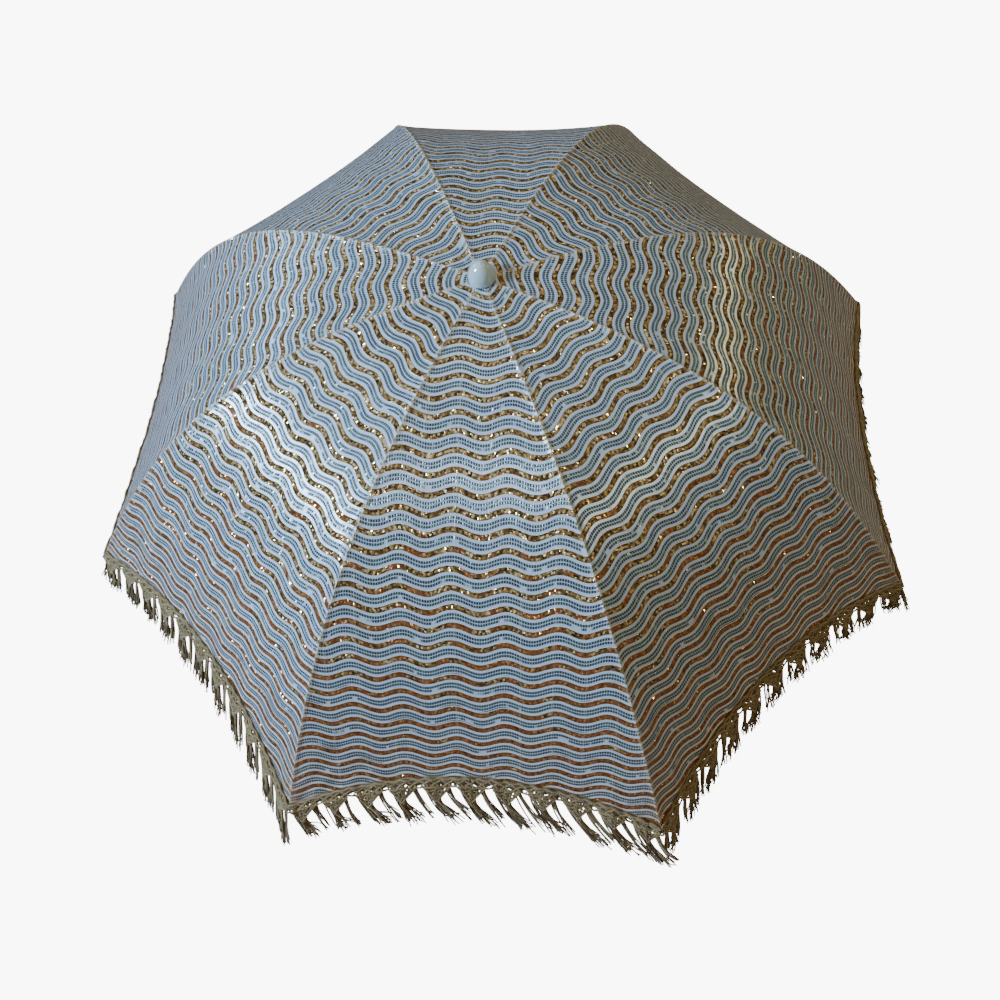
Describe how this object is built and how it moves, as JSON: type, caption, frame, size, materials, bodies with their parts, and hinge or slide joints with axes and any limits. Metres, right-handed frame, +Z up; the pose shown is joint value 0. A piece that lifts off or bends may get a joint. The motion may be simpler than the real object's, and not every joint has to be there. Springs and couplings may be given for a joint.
{
  "type": "folding umbrella",
  "caption": "Open folding umbrella: ribbed octagonal cloth canopy with a tasselled hem on a telescoping tube shaft, with a sliding runner and a short straight grip.",
  "frame": {"origin": "on the shaft axis, in the middle of the straight part of the hand grip", "axes": "+Z up the shaft from the grip to the cap; -Y towards the middle of the front panel; +X to the right of it"},
  "size_m": [0.895, 0.895, 0.5815],
  "materials": {
    "canopy_cloth": "satin-woven cloth with a smooth sheen",
    "fringe_cord": "twisted cotton cord",
    "rib_steel": "plated steel strip",
    "tip_plastic": "moulded",
    "shaft_chrome": "bright plated",
    "black_plastic": "moulded",
    "cap_plastic": "polished",
    "handle_plastic": "polished"
  },
  "bodies": {
    "handle": {"handle_grip": "handle_plastic", "handle_end_cap": "black_plastic", "lower_tube": "shaft_chrome"},
    "middle_shaft": {"middle_tube": "shaft_chrome"},
    "top_shaft": {"top_tube": "shaft_chrome", "notch": "black_plastic", "notch_wire": "rib_steel", "ferrule_cap": "cap_plastic", "canopy_panel_1": "canopy_cloth", "canopy_panel_2": "canopy_cloth", "canopy_panel_3": "canopy_cloth", "canopy_panel_4": "canopy_cloth", "canopy_panel_5": "canopy_cloth", "canopy_panel_6": "canopy_cloth", "canopy_panel_7": "canopy_cloth", "canopy_panel_8": "canopy_cloth", "fringe": "fringe_cord"},
    "runner": {"runner": "black_plastic", "runner_wire": "rib_steel"},
    "catch": {"runner_catch": "rib_steel"},
    "top_rib_1": {"top_rib_1": "rib_steel"},
    "stretcher_1": {"stretcher_1": "rib_steel"},
    "middle_rib_1": {"middle_rib_1": "rib_steel"},
    "outer_rib_1": {"outer_rib_1": "rib_steel", "rib_tip_1": "tip_plastic"},
    "top_rib_2": {"top_rib_2": "rib_steel"},
    "stretcher_2": {"stretcher_2": "rib_steel"},
    "middle_rib_2": {"middle_rib_2": "rib_steel"},
    "outer_rib_2": {"outer_rib_2": "rib_steel", "rib_tip_2": "tip_plastic"},
    "top_rib_3": {"top_rib_3": "rib_steel"},
    "stretcher_3": {"stretcher_3": "rib_steel"},
    "middle_rib_3": {"middle_rib_3": "rib_steel"},
    "outer_rib_3": {"outer_rib_3": "rib_steel", "rib_tip_3": "tip_plastic"},
    "top_rib_4": {"top_rib_4": "rib_steel"},
    "stretcher_4": {"stretcher_4": "rib_steel"},
    "middle_rib_4": {"middle_rib_4": "rib_steel"},
    "outer_rib_4": {"outer_rib_4": "rib_steel", "rib_tip_4": "tip_plastic"},
    "top_rib_5": {"top_rib_5": "rib_steel"},
    "stretcher_5": {"stretcher_5": "rib_steel"},
    "middle_rib_5": {"middle_rib_5": "rib_steel"},
    "outer_rib_5": {"outer_rib_5": "rib_steel", "rib_tip_5": "tip_plastic"},
    "top_rib_6": {"top_rib_6": "rib_steel"},
    "stretcher_6": {"stretcher_6": "rib_steel"},
    "middle_rib_6": {"middle_rib_6": "rib_steel"},
    "outer_rib_6": {"outer_rib_6": "rib_steel", "rib_tip_6": "tip_plastic"},
    "top_rib_7": {"top_rib_7": "rib_steel"},
    "stretcher_7": {"stretcher_7": "rib_steel"},
    "middle_rib_7": {"middle_rib_7": "rib_steel"},
    "outer_rib_7": {"outer_rib_7": "rib_steel", "rib_tip_7": "tip_plastic"},
    "top_rib_8": {"top_rib_8": "rib_steel"},
    "stretcher_8": {"stretcher_8": "rib_steel"},
    "middle_rib_8": {"middle_rib_8": "rib_steel"},
    "outer_rib_8": {"outer_rib_8": "rib_steel", "rib_tip_8": "tip_plastic"}
  },
  "joints": [
    {"name": "lower_telescope", "type": "slide", "parent": "handle", "child": "middle_shaft", "axis": [0, 0, -1], "range_m": [0, 0.15]},
    {"name": "upper_telescope", "type": "slide", "parent": "middle_shaft", "child": "top_shaft", "axis": [0, 0, -1], "range_m": [0, 0.15]},
    {"name": "runner_slide", "type": "slide", "parent": "top_shaft", "child": "runner", "axis": [0, 0, -1], "range_m": [0, 0.08524], "deforming": ["canopy_panel_1", "canopy_panel_2", "canopy_panel_3", "canopy_panel_4", "canopy_panel_5", "canopy_panel_6", "canopy_panel_7", "canopy_panel_8", "fringe"]},
    {"name": "catch_press", "type": "slide", "parent": "top_shaft", "child": "catch", "axis": [0, 1, 0], "range_m": [0, 0.0009], "stiffness_N_per_m": 300},
    {"name": "notch_hinge_1", "type": "hinge", "parent": "top_shaft", "child": "top_rib_1", "pos_m": [0.00924, 0.00383, 0.52], "axis": [-0.3827, 0.9239, 0], "range_deg": [0, 80.88]},
    {"name": "stretcher_hinge_1", "type": "hinge", "parent": "top_rib_1", "child": "stretcher_1", "pos_m": [0.0694, 0.02875, 0.50885], "axis": [-0.3827, 0.9239, 0], "range_deg": [-131.99, 0]},
    {"name": "inner_joint_1", "type": "hinge", "parent": "top_rib_1", "child": "middle_rib_1", "pos_m": [0.16346, 0.06771, 0.50098], "axis": [-0.3827, 0.9239, 0], "range_deg": [-202.62, 0]},
    {"name": "outer_joint_1", "type": "hinge", "parent": "middle_rib_1", "child": "outer_rib_1", "pos_m": [0.2998, 0.12418, 0.41254], "axis": [-0.3827, 0.9239, 0], "range_deg": [0, 160.18]},
    {"name": "notch_hinge_2", "type": "hinge", "parent": "top_shaft", "child": "top_rib_2", "pos_m": [0.00383, 0.00924, 0.52], "axis": [-0.9239, 0.3827, 0], "range_deg": [0, 80.88]},
    {"name": "stretcher_hinge_2", "type": "hinge", "parent": "top_rib_2", "child": "stretcher_2", "pos_m": [0.02875, 0.0694, 0.50885], "axis": [-0.9239, 0.3827, 0], "range_deg": [-131.99, 0]},
    {"name": "inner_joint_2", "type": "hinge", "parent": "top_rib_2", "child": "middle_rib_2", "pos_m": [0.06771, 0.16346, 0.50098], "axis": [-0.9239, 0.3827, 0], "range_deg": [-202.62, 0]},
    {"name": "outer_joint_2", "type": "hinge", "parent": "middle_rib_2", "child": "outer_rib_2", "pos_m": [0.12418, 0.2998, 0.41254], "axis": [-0.9239, 0.3827, 0], "range_deg": [0, 160.18]},
    {"name": "notch_hinge_3", "type": "hinge", "parent": "top_shaft", "child": "top_rib_3", "pos_m": [-0.00383, 0.00924, 0.52], "axis": [-0.9239, -0.3827, 0], "range_deg": [0, 80.88]},
    {"name": "stretcher_hinge_3", "type": "hinge", "parent": "top_rib_3", "child": "stretcher_3", "pos_m": [-0.02875, 0.0694, 0.50885], "axis": [-0.9239, -0.3827, 0], "range_deg": [-131.99, 0]},
    {"name": "inner_joint_3", "type": "hinge", "parent": "top_rib_3", "child": "middle_rib_3", "pos_m": [-0.06771, 0.16346, 0.50098], "axis": [-0.9239, -0.3827, 0], "range_deg": [-202.62, 0]},
    {"name": "outer_joint_3", "type": "hinge", "parent": "middle_rib_3", "child": "outer_rib_3", "pos_m": [-0.12418, 0.2998, 0.41254], "axis": [-0.9239, -0.3827, 0], "range_deg": [0, 160.18]},
    {"name": "notch_hinge_4", "type": "hinge", "parent": "top_shaft", "child": "top_rib_4", "pos_m": [-0.00924, 0.00383, 0.52], "axis": [-0.3827, -0.9239, 0], "range_deg": [0, 80.88]},
    {"name": "stretcher_hinge_4", "type": "hinge", "parent": "top_rib_4", "child": "stretcher_4", "pos_m": [-0.0694, 0.02875, 0.50885], "axis": [-0.3827, -0.9239, 0], "range_deg": [-131.99, 0]},
    {"name": "inner_joint_4", "type": "hinge", "parent": "top_rib_4", "child": "middle_rib_4", "pos_m": [-0.16346, 0.06771, 0.50098], "axis": [-0.3827, -0.9239, 0], "range_deg": [-202.62, 0]},
    {"name": "outer_joint_4", "type": "hinge", "parent": "middle_rib_4", "child": "outer_rib_4", "pos_m": [-0.2998, 0.12418, 0.41254], "axis": [-0.3827, -0.9239, 0], "range_deg": [0, 160.18]},
    {"name": "notch_hinge_5", "type": "hinge", "parent": "top_shaft", "child": "top_rib_5", "pos_m": [-0.00924, -0.00383, 0.52], "axis": [0.3827, -0.9239, 0], "range_deg": [0, 80.88]},
    {"name": "stretcher_hinge_5", "type": "hinge", "parent": "top_rib_5", "child": "stretcher_5", "pos_m": [-0.0694, -0.02875, 0.50885], "axis": [0.3827, -0.9239, 0], "range_deg": [-131.99, 0]},
    {"name": "inner_joint_5", "type": "hinge", "parent": "top_rib_5", "child": "middle_rib_5", "pos_m": [-0.16346, -0.06771, 0.50098], "axis": [0.3827, -0.9239, 0], "range_deg": [-202.62, 0]},
    {"name": "outer_joint_5", "type": "hinge", "parent": "middle_rib_5", "child": "outer_rib_5", "pos_m": [-0.2998, -0.12418, 0.41254], "axis": [0.3827, -0.9239, 0], "range_deg": [0, 160.18]},
    {"name": "notch_hinge_6", "type": "hinge", "parent": "top_shaft", "child": "top_rib_6", "pos_m": [-0.00383, -0.00924, 0.52], "axis": [0.9239, -0.3827, 0], "range_deg": [0, 80.88]},
    {"name": "stretcher_hinge_6", "type": "hinge", "parent": "top_rib_6", "child": "stretcher_6", "pos_m": [-0.02875, -0.0694, 0.50885], "axis": [0.9239, -0.3827, 0], "range_deg": [-131.99, 0]},
    {"name": "inner_joint_6", "type": "hinge", "parent": "top_rib_6", "child": "middle_rib_6", "pos_m": [-0.06771, -0.16346, 0.50098], "axis": [0.9239, -0.3827, 0], "range_deg": [-202.62, 0]},
    {"name": "outer_joint_6", "type": "hinge", "parent": "middle_rib_6", "child": "outer_rib_6", "pos_m": [-0.12418, -0.2998, 0.41254], "axis": [0.9239, -0.3827, 0], "range_deg": [0, 160.18]},
    {"name": "notch_hinge_7", "type": "hinge", "parent": "top_shaft", "child": "top_rib_7", "pos_m": [0.00383, -0.00924, 0.52], "axis": [0.9239, 0.3827, 0], "range_deg": [0, 80.88]},
    {"name": "stretcher_hinge_7", "type": "hinge", "parent": "top_rib_7", "child": "stretcher_7", "pos_m": [0.02875, -0.0694, 0.50885], "axis": [0.9239, 0.3827, 0], "range_deg": [-131.99, 0]},
    {"name": "inner_joint_7", "type": "hinge", "parent": "top_rib_7", "child": "middle_rib_7", "pos_m": [0.06771, -0.16346, 0.50098], "axis": [0.9239, 0.3827, 0], "range_deg": [-202.62, 0]},
    {"name": "outer_joint_7", "type": "hinge", "parent": "middle_rib_7", "child": "outer_rib_7", "pos_m": [0.12418, -0.2998, 0.41254], "axis": [0.9239, 0.3827, 0], "range_deg": [0, 160.18]},
    {"name": "notch_hinge_8", "type": "hinge", "parent": "top_shaft", "child": "top_rib_8", "pos_m": [0.00924, -0.00383, 0.52], "axis": [0.3827, 0.9239, 0], "range_deg": [0, 80.88]},
    {"name": "stretcher_hinge_8", "type": "hinge", "parent": "top_rib_8", "child": "stretcher_8", "pos_m": [0.0694, -0.02875, 0.50885], "axis": [0.3827, 0.9239, 0], "range_deg": [-131.99, 0]},
    {"name": "inner_joint_8", "type": "hinge", "parent": "top_rib_8", "child": "middle_rib_8", "pos_m": [0.16346, -0.06771, 0.50098], "axis": [0.3827, 0.9239, 0], "range_deg": [-202.62, 0]},
    {"name": "outer_joint_8", "type": "hinge", "parent": "middle_rib_8", "child": "outer_rib_8", "pos_m": [0.2998, -0.12418, 0.41254], "axis": [0.3827, 0.9239, 0], "range_deg": [0, 160.18]}
  ],
  "couplings": [
    {"joint": "notch_hinge_1", "follows": "runner_slide", "rad_per_m": 16.562},
    {"joint": "stretcher_hinge_1", "follows": "runner_slide", "rad_per_m": -27.027},
    {"joint": "inner_joint_1", "follows": "runner_slide", "rad_per_m": -41.489},
    {"joint": "outer_joint_1", "follows": "runner_slide", "rad_per_m": 32.798},
    {"joint": "notch_hinge_2", "follows": "runner_slide", "rad_per_m": 16.562},
    {"joint": "stretcher_hinge_2", "follows": "runner_slide", "rad_per_m": -27.027},
    {"joint": "inner_joint_2", "follows": "runner_slide", "rad_per_m": -41.489},
    {"joint": "outer_joint_2", "follows": "runner_slide", "rad_per_m": 32.798},
    {"joint": "notch_hinge_3", "follows": "runner_slide", "rad_per_m": 16.562},
    {"joint": "stretcher_hinge_3", "follows": "runner_slide", "rad_per_m": -27.027},
    {"joint": "inner_joint_3", "follows": "runner_slide", "rad_per_m": -41.489},
    {"joint": "outer_joint_3", "follows": "runner_slide", "rad_per_m": 32.798},
    {"joint": "notch_hinge_4", "follows": "runner_slide", "rad_per_m": 16.562},
    {"joint": "stretcher_hinge_4", "follows": "runner_slide", "rad_per_m": -27.027},
    {"joint": "inner_joint_4", "follows": "runner_slide", "rad_per_m": -41.489},
    {"joint": "outer_joint_4", "follows": "runner_slide", "rad_per_m": 32.798},
    {"joint": "notch_hinge_5", "follows": "runner_slide", "rad_per_m": 16.562},
    {"joint": "stretcher_hinge_5", "follows": "runner_slide", "rad_per_m": -27.027},
    {"joint": "inner_joint_5", "follows": "runner_slide", "rad_per_m": -41.489},
    {"joint": "outer_joint_5", "follows": "runner_slide", "rad_per_m": 32.798},
    {"joint": "notch_hinge_6", "follows": "runner_slide", "rad_per_m": 16.562},
    {"joint": "stretcher_hinge_6", "follows": "runner_slide", "rad_per_m": -27.027},
    {"joint": "inner_joint_6", "follows": "runner_slide", "rad_per_m": -41.489},
    {"joint": "outer_joint_6", "follows": "runner_slide", "rad_per_m": 32.798},
    {"joint": "notch_hinge_7", "follows": "runner_slide", "rad_per_m": 16.562},
    {"joint": "stretcher_hinge_7", "follows": "runner_slide", "rad_per_m": -27.027},
    {"joint": "inner_joint_7", "follows": "runner_slide", "rad_per_m": -41.489},
    {"joint": "outer_joint_7", "follows": "runner_slide", "rad_per_m": 32.798},
    {"joint": "notch_hinge_8", "follows": "runner_slide", "rad_per_m": 16.562},
    {"joint": "stretcher_hinge_8", "follows": "runner_slide", "rad_per_m": -27.027},
    {"joint": "inner_joint_8", "follows": "runner_slide", "rad_per_m": -41.489},
    {"joint": "outer_joint_8", "follows": "runner_slide", "rad_per_m": 32.798}
  ]
}
